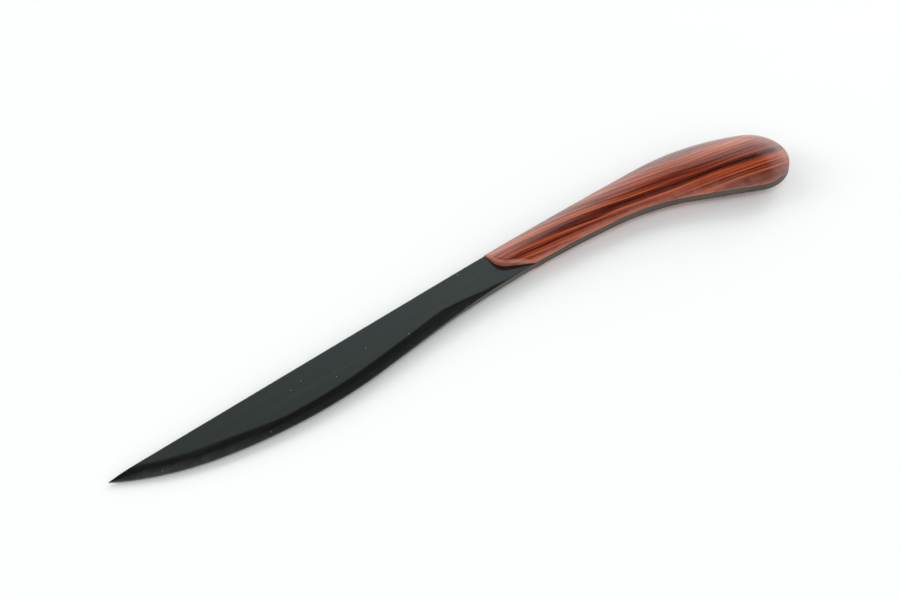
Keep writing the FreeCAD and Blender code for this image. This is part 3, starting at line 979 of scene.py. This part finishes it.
COCOBOLO = TimberFinish(
    name="polished_cocobolo",
    stops=(
        Stop(0.00, (0.010, 0.002, 0.001)),
        Stop(0.25, (0.030, 0.005, 0.003)),
        Stop(0.42, (0.095, 0.012, 0.006)),
        Stop(0.56, (0.180, 0.024, 0.009)),
        Stop(0.72, (0.285, 0.044, 0.014)),
        Stop(1.00, (0.430, 0.105, 0.030)),
    ),
    band_width=1.7,
    band_length=95.0,
    layer_tilt=0.75,
    waviness=3.0,
    grain_turn=2.0,
    offset=(42.8, 29.5, 10.3),
    bend_start=44.0,
    contrast=2.3,
    roughness=0.16,
    rough_gain=0.16,
    pore_depth=1.0,
    speck_share=0.01,
    ior=1.54,
    tone=0.63,
    heart_place=31.0,
    heart_width=4.5,
    heart_depth=0.26,
    vein_depth=0.2,
    # Painted sheen: sloping flanks and the rounded nose are painted this paler salmon.
    rim_colour=(0.38, 0.15, 0.115),
    rim_share=0.5,
)

DOWEL_WOOD = TimberFinish(
    name="plain_dowel_wood",
    stops=(
        Stop(0.0, (0.30, 0.18, 0.09)),
        Stop(0.5, (0.46, 0.31, 0.17)),
        Stop(1.0, (0.58, 0.42, 0.25)),
    ),
    band_width=0.9,
    band_length=20.0,
    layer_tilt=0.0,
    waviness=0.4,
    offset=(0.0, 0.0, 0.0),
    contrast=1.4,
    roughness=0.55,
    rough_gain=0.1,
    pore_depth=0.6,
    speck_share=0.0,
    ior=1.45,
)


@dataclass(frozen=True)
class GlueFinish:
    """Cured dark glue that shows as a hairline between tang and scale."""

    name: str = "cured_glue"
    dark: tuple[float, float, float] = (0.012, 0.007, 0.005)
    light: tuple[float, float, float] = (0.05, 0.028, 0.016)
    roughness: float = 0.3

    def build(self) -> bpy.types.Material:
        """Build the material, clouded by sanding dust caught in the glue."""
        material, sheet, shader = new_material(self.name)
        place = sheet.node("ShaderNodeTexCoord").outputs["Object"]
        mapping = sheet.node("ShaderNodeMapping", {"Vector": place})
        mapping.inputs["Scale"].default_value = (0.6 / MM,) * 3
        cloud = sheet.noise(mapping.outputs[0], 4.0, 0.6)
        share = sheet.spread(cloud, 0.35, 0.65, 0.0, 1.0)
        sheet.feed(
            shader.inputs["Base Color"], sheet.mix(share, (*self.dark, 1.0), (*self.light, 1.0))
        )
        rough = sheet.math("MULTIPLY_ADD", cloud, 0.3, self.roughness - 0.15)
        sheet.feed(shader.inputs["Roughness"], rough)
        return material


class Palette:
    """All finishes of the folder, built once."""

    def __init__(self) -> None:
        """Build the shared node groups and the materials."""
        grain = build_grain_group()
        handling = build_handling_group()
        rim = build_rim_sheen_and_wear_group()
        self.ebony = EBONY.build(grain, handling, rim)
        self.ebony_edge = EBONY_EDGE.build(grain, handling, rim)
        self.cocobolo = COCOBOLO.build(grain, handling, rim)
        self.dowel = DOWEL_WOOD.build(grain, handling, rim)
        self.glue = GlueFinish().build()


# ------------------------------------------------------------------ blade and tang


@dataclass
class Blade:
    """One ebony slip: bevelled blade in front of the nose line, flat tang behind it.

    Attributes:
        thickness: Thickness of the slip.
        bed_depth: Depth of the scraped bed under each scale.
        bevel_width: Full width of the bevel.
        edge_thickness: Thickness left at the cutting edge.
        spine_round: Radius of the softened spine corners.
        edge_round: Radius of the softened cutting edge.
        bevel_marks: Places along the spine at which the bevel's shares are given.
        width_shares: Share of the bevel's full width at each place.
        depth_shares: Share of the way from a square to a finished edge at each place.
        crown_marks: Places at which the bevel's crown is given.
        crowns: How rounded the bevel is at each place; 1 is a flat bevel with a crisp start.
        glint_and_wear_marks: Places at which the cutting edge's wear and painted glint are given.
        glint_and_wear_shares: Strength of that wear and painted glint at each place.
        sharp_angle: Angle in degrees from which a mesh edge stays sharp.
        edge_face_slope: Upward share of a face's normal under which it belongs to the edge.
    """

    thickness: float = 1.8
    bed_depth: float = 0.05
    bevel_width: float = 4.0
    edge_thickness: float = 0.34
    spine_round: float = 0.2
    edge_round: float = 0.15
    bevel_marks: tuple[float, ...] = (0, 14, 30, 46, 62, 80, 96, 101, 113, 121, 127)
    width_shares: tuple[float, ...] = (
        1.25, 1.25, 1.25, 0.87, 0.88, 0.90, 0.93, 0.94, 0.36, 0.06, 0.01
    )
    depth_shares: tuple[float, ...] = (1, 1, 0.98, 0.96, 0.94, 0.86, 0.7, 0.6, 0.2, 0.05, 0)
    crown_marks: tuple[float, ...] = (0.0, 60.0, 100.0)
    crowns: tuple[float, ...] = (2.2, 1.2, 1.0)
    glint_and_wear_marks: tuple[float, ...] = (0.0, 22.0, 48.0, 110.0, 124.0)
    glint_and_wear_shares: tuple[float, ...] = (1.0, 0.9, 0.35, 0.25, 0.0)
    sharp_angle: float = 40.0
    edge_face_slope: float = 0.3

    def columns(self) -> tuple[np.ndarray, np.ndarray]:
        """Place the lengthwise lines: shares of the bevel, and then shares of the flat."""
        bevel = np.concatenate(([0.0, 0.012, 0.03, 0.055], np.linspace(0.09, 1.0, 24)))
        flat = np.concatenate((np.linspace(0.04, 0.94, 20), [0.965, 0.98, 0.99, 0.996, 1.0]))
        return bevel, flat

    def half_height(
        self, along: np.ndarray, from_edge: np.ndarray, from_spine: np.ndarray
    ) -> np.ndarray:
        """Return half the slip's thickness.

        Args:
            along: Place along the spine.
            from_edge: Distance from the belly edge.
            from_spine: Distance from the spine.

        Returns:
            Half the thickness at each point.
        """
        half = self.thickness / 2
        width = self.bevel_width * np.interp(along, self.bevel_marks, self.width_shares)
        depth = np.interp(along, self.bevel_marks, self.depth_shares)
        edge = half - (half - self.edge_thickness / 2) * depth
        crown = np.interp(along, self.crown_marks, self.crowns)
        share = np.clip(from_edge / width, 0.0, 1.0)
        height = edge + (half - edge) * (1 - (1 - share) ** crown)
        for distance, radius in (
            (from_edge, np.minimum(self.edge_round, edge * 0.85)),
            (from_spine, np.minimum(self.spine_round, height * 0.5)),
        ):
            short = np.clip(radius - distance, 0.0, radius)
            height = height - (radius - np.sqrt(radius**2 - short**2))
        return height

    def grid(self) -> tuple[np.ndarray, np.ndarray]:
        """Lay out the slip's grid in the plan.

        Returns:
            The points, row by row, as x + y j, and the half thickness there.
        """
        bevel, flat = self.columns()
        count = len(bevel) + len(flat)
        samples = np.linspace(0.0, 1.0, 201)
        nose_row = nose_stations(samples)
        tip_rows = np.linspace(0, 1.2, 9) ** 1.5
        front = np.concatenate((tip_rows, np.arange(2.0, NOSE.start, 0.8)))
        blend = np.linspace(0.0, 1.0, 16)
        rear_start = NOSE.end
        rear = np.arange(rear_start + 0.8, PLAN.last_station, 0.9)
        cap = PLAN.last_station + PLAN.butt_radius * np.sin(np.radians(np.arange(0, 91, 3.0)))
        shares = np.linspace(0.0, 1.0, count)
        for _ in range(6):
            nose = np.interp(shares, samples, nose_row)
            belly, back, _ = PLAN.stations(nose)
            shares = self.shares(nose, belly, back)
        nose = np.interp(shares, samples, nose_row)
        ahead = [np.full(count, value) for value in front]
        ahead += [front[-1] + (nose - front[-1]) * step for step in blend[1:]]
        behind = [nose + (rear_start - nose) * step for step in blend]
        behind += [np.full(count, value) for value in np.concatenate((rear, cap))]
        along = np.array(ahead + behind)
        on_bed = np.arange(len(along))[:, None] >= len(ahead)
        belly, back, _ = PLAN.stations(along)
        shares = self.shares(along, belly, back)
        points = belly + (back - belly) * shares
        width = np.abs(back - belly)
        height = self.half_height(points.real, width * shares, width * (1 - shares))
        return points, height - self.bed_depth * on_bed

    def shares(self, along: np.ndarray, belly: np.ndarray, back: np.ndarray) -> np.ndarray:
        """Share out the lengthwise lines of each section between bevel and flat.

        Args:
            along: Stations, with one column for each lengthwise line.
            belly: Each section's end on the belly side.
            back: Each section's end on the back.

        Returns:
            Place of each point between the belly side, 0, and the back, 1.
        """
        bevel, flat = self.columns()
        width = np.maximum(np.abs(back - belly), 1e-6)
        reach = self.bevel_width * np.interp(along, self.bevel_marks, self.width_shares)
        reach = np.clip(reach, 0.3, None)
        split = np.minimum(reach / width, 0.9)
        bevel_part = np.concatenate((bevel, np.ones(len(flat))))
        flat_part = np.concatenate((np.zeros(len(bevel)), flat))
        return split * bevel_part + (1 - split) * flat_part

    def edge_wear_and_glint_columns(self) -> np.ndarray:
        """Return the wear and painted glint of each lengthwise line, from the cutting edge
        inwards.
        """
        bevel, flat = self.columns()
        glint_and_wear = np.clip(1 - bevel / 0.55, 0.0, 1.0) ** 0.8
        return np.concatenate((glint_and_wear, np.zeros(len(flat))))

    def build(self, palette: Palette) -> bpy.types.Object:
        """Build, drill and place the slip, and give it its finishes."""
        points, height = self.grid()
        rows, columns = points.shape
        upper = np.stack((points.real, points.imag, height), axis=-1).reshape(-1, 3)
        lower = upper * (1, 1, -1)
        mesh = bpy.data.meshes.new("blade_slip")
        mesh.from_pydata(np.concatenate((upper, lower)).tolist(), [], skin_faces(rows, columns))
        # The cutting edge is painted paler along its length: real wear with a painted glint.
        glint_and_wear = self.edge_wear_and_glint_columns() * np.interp(points.real, self.glint_and_wear_marks, self.glint_and_wear_shares)
        set_figure(mesh, "worn_and_glinting_edge", np.tile(glint_and_wear.ravel(), 2))
        tidy_mesh(mesh, self.sharp_angle)
        item = new_object("blade_slip", mesh)
        drill_and_dress(item, self.sharp_angle, palette.ebony, palette.ebony_edge)
        for face in item.data.polygons:
            face.material_index = int(abs(face.normal.z) < self.edge_face_slope)
        item.data.transform(PLACING.matrix)
        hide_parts("blade")
        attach(item, "root")
        return item


# ------------------------------------------------------------------ handle scales


@dataclass
class Scale:
    """One handle scale: a slab cut to the tang's outline and domed by one rule.

    Attributes:
        side: Which face of the tang it lies on.
        base_height: Height of its flat face above the tang's mid-plane.
        land: Height of the square edge all round.
        dome_ratio: Rise of the dome over half the handle's width.
        rim_round: Radius of the softened edge of the dome.
        nose_round: Radius of the softened top of the nose wall.
        rejoin: Station from which the rows no longer follow the nose line.
        sharp_angle: Angle in degrees from which a mesh edge stays sharp.
    """

    side: Side
    base_height: float = 0.938
    land: float = 0.2
    dome_ratio: float = 0.323
    rim_round: float = 0.15
    nose_round: float = 0.95
    rejoin: float = 146.0
    sharp_angle: float = 50.0

    @property
    def node(self) -> str:
        """Name of the frame's node that this piece stands for."""
        return "front_scale" if self.side is Side.FRONT else "back_scale"

    def columns(self) -> np.ndarray:
        """Place the lengthwise lines between the belly side, -1, and the back, 1."""
        rim = [0.95, 0.966, 0.978, 0.987, 0.994, 1.0]
        half = np.concatenate((np.linspace(0.0, 0.93, 26), rim))
        return np.concatenate((-half[:0:-1], half))

    def plan_mesh(self) -> bpy.types.Mesh:
        """Build the flat start of the scale, with the figures that the doming rule reads.

        Returns:
            A closed skin of no thickness in the plan. Its point attributes are reach, the
            distance from the middle line over half_width; lift, 1 on the upper skin and 0 on the
            lower; and drop, how far the softened nose is below the dome.
        """
        columns = self.columns()
        shares = (columns + 1) / 2
        nose = nose_stations(shares)
        belly, back, _ = PLAN.stations(nose)
        nose_points = belly + (back - belly) * shares
        square = NOSE.squareness(nose_points.imag)
        half = np.abs(back - belly) / 2
        crest = self.land + half * self.dome_ratio * (1 - columns**2)
        radius = np.minimum(self.nose_round, crest * 0.75)
        rows = []
        drops = []
        for angle in np.radians(np.arange(0.0, 91.0, 11.25)):
            rows.append(nose + radius * (1 - math.cos(angle)) / square)
            drops.append(radius * (1 - math.sin(angle)))
        start = rows[-1]
        for step in np.linspace(0.0, 1.0, 44)[1:]:
            rows.append(start + (self.rejoin - start) * step)
        body = np.arange(self.rejoin + 0.7, PLAN.last_station, 0.7)
        cap = PLAN.last_station + PLAN.butt_radius * np.sin(np.radians(np.arange(0.0, 91.0, 2.5)))
        for value in np.concatenate((body, cap)):
            rows.append(np.full_like(columns, value))
        drops += [np.zeros_like(columns)] * (len(rows) - len(drops))
        along = np.array(rows)
        belly, back, past = PLAN.stations(along)
        points = belly + (back - belly) * shares
        half = np.abs(back - belly) / 2
        offset = half * np.abs(columns)
        reach = np.where(
            past > 0,
            np.sqrt(past**2 + offset**2) / PLAN.butt_radius,
            np.broadcast_to(np.abs(columns), along.shape),
        )
        half = np.where(past > 0, PLAN.butt_radius, half)
        flat = np.stack((points.real, points.imag, np.zeros(points.shape)), axis=-1)
        flat = flat.reshape(-1, 3)
        mesh = bpy.data.meshes.new(self.node + "_plan")
        mesh.from_pydata(np.concatenate((flat, flat)).tolist(), [], skin_faces(*along.shape))
        set_figure(mesh, "reach", np.tile(np.clip(reach, 0.0, 1.0).ravel(), 2))
        set_figure(mesh, "half_width", np.tile(half.ravel(), 2))
        set_figure(mesh, "drop", np.tile(np.ravel(drops), 2))
        set_figure(mesh, "lift", np.repeat([1.0, 0.0], along.size))
        return mesh

    def dome_tree(self, material: bpy.types.Material) -> bpy.types.NodeTree:
        """Build the doming rule: a circular arc over every section, softened at its rim."""
        sheet, given, result = new_group(
            self.node + "_dome",
            "GeometryNodeTree",
            {
                "Geometry": None,
                "Base Height": 1.0,
                "Land": 0.35,
                "Dome Ratio": 0.3,
                "Rim Round": 0.2,
                "Side": 1.0,
            },
            ("Geometry",),
        )

        def figure(name: str) -> bpy.types.NodeSocket:
            """Read one of the plan's point attributes."""
            kind = "GeometryNodeInputNamedAttribute"
            return sheet.node(kind, {"Name": name}, data_type="FLOAT").outputs["Attribute"]

        half = figure("half_width")
        ratio = given.outputs["Dome Ratio"]
        rim = given.outputs["Rim Round"]
        squared = sheet.math("MULTIPLY_ADD", ratio, ratio, 1.0)
        radius = sheet.math("DIVIDE", squared, sheet.math("MULTIPLY", ratio, 2.0))
        radius = sheet.math("MULTIPLY", radius, half)
        offset = sheet.math("MULTIPLY", figure("reach"), half)
        inside = sheet.math(
            "SUBTRACT",
            sheet.math("MULTIPLY", radius, radius),
            sheet.math("MULTIPLY", offset, offset),
        )
        rise = sheet.math("SUBTRACT", sheet.math("SQRT", inside), radius)
        rise = sheet.math("MULTIPLY_ADD", ratio, half, rise)
        top = sheet.math("ADD", rise, given.outputs["Land"])
        short = sheet.math("SUBTRACT", rim, sheet.math("SUBTRACT", half, offset))
        short = sheet.math("MINIMUM", sheet.math("MAXIMUM", short, 0.0), rim)
        left = sheet.math(
            "SUBTRACT",
            sheet.math("MULTIPLY", rim, rim),
            sheet.math("MULTIPLY", short, short),
        )
        cut = sheet.math("SUBTRACT", rim, sheet.math("SQRT", sheet.math("MAXIMUM", left, 0.0)))
        top = sheet.math("SUBTRACT", sheet.math("SUBTRACT", top, cut), figure("drop"))
        height = sheet.math("MULTIPLY_ADD", figure("lift"), top, given.outputs["Base Height"])
        height = sheet.math("MULTIPLY", height, given.outputs["Side"])
        moved = sheet.node(
            "GeometryNodeSetPosition",
            {"Geometry": given.outputs["Geometry"], "Offset": sheet.vector(0.0, 0.0, height)},
        )
        real = sheet.node("GeometryNodeRealizeInstances", {"Geometry": moved.outputs[0]})
        dressed = sheet.node("GeometryNodeSetMaterial", {"Geometry": real.outputs[0]})
        dressed.inputs["Material"].default_value = material
        sheet.feed(result.inputs["Geometry"], dressed.outputs[0])
        return sheet.tree

    def build(self, palette: Palette) -> bpy.types.Object:
        """Dome, drill and place the scale, and give it its finish."""
        item = new_object(self.node + "_shaped", self.plan_mesh())
        modifier = item.modifiers.new("dome", "NODES")
        modifier.node_group = self.dome_tree(palette.cocobolo)
        sockets = {
            entry.name: entry.identifier
            for entry in modifier.node_group.interface.items_tree
            if entry.in_out == "INPUT"
        }
        modifier[sockets["Base Height"]] = self.base_height
        modifier[sockets["Land"]] = self.land
        modifier[sockets["Dome Ratio"]] = self.dome_ratio
        modifier[sockets["Rim Round"]] = self.rim_round
        modifier[sockets["Side"]] = float(self.side.value)
        settle(item)
        tidy_mesh(item.data, self.sharp_angle)
        drill_and_dress(item, self.sharp_angle, palette.cocobolo)
        item.data.transform(PLACING.matrix)
        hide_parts(self.node)
        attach(item, "root")
        return item


# ------------------------------------------------------------------ pieces kept from the frame


@dataclass
class KeptPieces:
    """Glue films and dowels, whose frame shapes are right as they are."""

    glue_nodes: tuple[str, ...] = ("front_glue_line", "back_glue_line")
    dowel_nodes: tuple[str, ...] = ("front_dowel", "rear_dowel")

    def dress(self, palette: Palette) -> list[bpy.types.Object]:
        """Give the kept pieces their finishes and return them."""
        pairs = [(name, palette.glue) for name in self.glue_nodes]
        pairs += [(name, palette.dowel) for name in self.dowel_nodes]
        for name, material in pairs:
            node = frame["nodes"][name]
            node.data.materials.clear()
            node.data.materials.append(material)
        return [frame["nodes"][name] for name, _ in pairs]


# ------------------------------------------------------------------ studio


@dataclass(frozen=True)
class Lamp:
    """A round soft lamp.

    Attributes:
        name: Its name.
        power: Its strength.
        place: Where it hangs, in metres.
        size: Its width in metres.
    """

    name: str
    power: float
    place: tuple[float, float, float]
    size: float = 0.6


@dataclass
class Studio:
    """Pale table, a white tent with a dark gap overhead, three soft lamps and the camera.

    Attributes:
        target: Point on the table that the camera looks at, in metres.
        azimuth: Direction the camera looks in, in degrees; 0 looks along +Y.
        elevation: Height of the camera above the horizon, in degrees.
        distance: Distance of the camera from the target, in metres.
        lens: Focal length in millimetres, on a sensor 36 mm wide.
        tent: Brightness of the tent behind the folder, well above the horizon.
        low_tent: Brightness of the tent at the horizon, as a share of the same.
        near_share: Brightness of the tent on the camera's side, as a share of the rest.
        gap: Brightness of the gap overhead.
        gap_lean: How far the middle of the gap leans away from the camera, in degrees.
        gap_inner: Angle from the middle at which the gap starts to fade.
        gap_outer: Angle from the middle at which the tent is full.
        lamps: The soft lamps that shade the table.
    """

    target: tuple[float, float, float] = (-0.0011565, 0.0110951, 0.0)
    azimuth: float = -39.722
    elevation: float = 45.0
    distance: float = 0.57576
    lens: float = 85.0
    tent: float = 1.12
    low_tent: float = 1.5
    near_share: float = 0.9
    gap: float = 0.07
    gap_lean: float = 6.0
    gap_inner: float = 29.0
    gap_outer: float = 42.0
    lamps: tuple[Lamp, ...] = (
        Lamp("lamp_far_left", 3.2, (-0.782, 0.667, 0.412)),
        Lamp("lamp_far_right", 4.9, (0.984, 0.275, 0.412)),
        Lamp("lamp_near", 3.1, (-0.317, -0.535, 0.901)),
    )

    def towards(self, rise: float) -> Vector:
        """Return the direction away from the camera at this elevation in degrees."""
        turn = math.radians(self.azimuth)
        level = math.cos(math.radians(rise))
        return Vector(
            (-math.sin(turn) * level, math.cos(turn) * level, math.sin(math.radians(rise)))
        )

    def lay_floor(self) -> None:
        """Lay a plain pale table under the folder."""
        reach = 3.0
        corners = [(-reach, -reach, 0), (reach, -reach, 0), (reach, reach, 0), (-reach, reach, 0)]
        mesh = bpy.data.meshes.new("table")
        mesh.from_pydata(corners, [], [(0, 1, 2, 3)])
        table = new_object("table", mesh)
        material, _, shader = new_material("matt_white_table")
        shader.inputs["Base Color"].default_value = (0.80, 0.805, 0.805, 1.0)
        shader.inputs["Roughness"].default_value = 0.9
        shader.inputs["Specular IOR Level"].default_value = 0.1
        mesh.materials.append(material)

    def hang_tent(self) -> None:
        """Surround the folder with white, apart from a dark gap overhead."""
        world = bpy.data.worlds.new("tent")
        world.use_nodes = True
        bpy.context.scene.world = world
        sheet = Sheet(world.node_tree)
        background = world.node_tree.nodes["Background"]
        way = sheet.node("ShaderNodeTexCoord").outputs["Generated"]
        axis = self.towards(90.0 - self.gap_lean)
        facing = sheet.node("ShaderNodeVectorMath", {0: way, 1: axis}, operation="DOT_PRODUCT")
        share = sheet.spread(
            facing.outputs["Value"],
            math.cos(math.radians(self.gap_outer)),
            math.cos(math.radians(self.gap_inner)),
            0.0,
            1.0,
        )
        ahead = self.towards(0.0)
        depth = sheet.node("ShaderNodeVectorMath", {0: way, 1: ahead}, operation="DOT_PRODUCT")
        far = sheet.spread(depth.outputs["Value"], -0.5, 0.3, 0.0, 1.0)
        white = (self.tent * 0.97, self.tent, self.tent * 0.995)
        near = tuple(self.near_share * value for value in white)
        tent = sheet.mix(far, (*near, 1.0), (*white, 1.0))
        dark = (self.gap, self.gap * 0.95, self.gap * 0.88, 1.0)
        height = sheet.node("ShaderNodeSeparateXYZ", {0: way}).outputs[2]
        strength = sheet.spread(height, 0.1, 0.7, self.low_tent, 1.0)
        sheet.feed(background.inputs["Color"], sheet.mix(share, tent, dark))
        sheet.feed(background.inputs["Strength"], strength)

    def hang_lamp(self, lamp: Lamp) -> None:
        """Hang a round soft lamp that is not seen in the folder's polish."""
        light = bpy.data.lights.new(lamp.name, "AREA")
        light.shape = "DISK"
        light.size = lamp.size
        light.energy = lamp.power
        hung = bpy.data.objects.new(lamp.name, light)
        bpy.context.scene.collection.objects.link(hung)
        hung.location = lamp.place
        away = Vector(lamp.place) - Vector(self.target)
        hung.rotation_euler = away.to_track_quat("Z", "Y").to_euler()
        hung.visible_glossy = False

    def set_camera(self) -> None:
        """Set up the camera."""
        view = self.towards(-self.elevation)
        data = bpy.data.cameras.new("camera")
        data.lens = self.lens
        data.sensor_width = 36.0
        data.clip_start = 0.01
        camera = bpy.data.objects.new("camera", data)
        bpy.context.scene.collection.objects.link(camera)
        camera.location = Vector(self.target) - view * self.distance
        camera.rotation_euler = view.to_track_quat("-Z", "Y").to_euler()
        bpy.context.scene.camera = camera

    def build(self) -> None:
        """Set up the whole studio."""
        self.lay_floor()
        self.hang_tent()
        for lamp in self.lamps:
            self.hang_lamp(lamp)
        self.set_camera()
        bpy.context.scene.view_settings.view_transform = "Standard"


def main() -> None:
    """Build every piece of the folder and the studio round it."""
    logging.basicConfig(level=logging.INFO, format="%(name)s: %(message)s")
    palette = Palette()
    pieces = [Blade().build(palette)]
    pieces += [Scale(side).build(palette) for side in Side]
    pieces += KeptPieces().dress(palette)
    Studio().build()
    for piece in pieces:
        LOG.info("%s: %d faces", piece.name, len(piece.data.polygons))


if __name__ == "__main__":
    main()
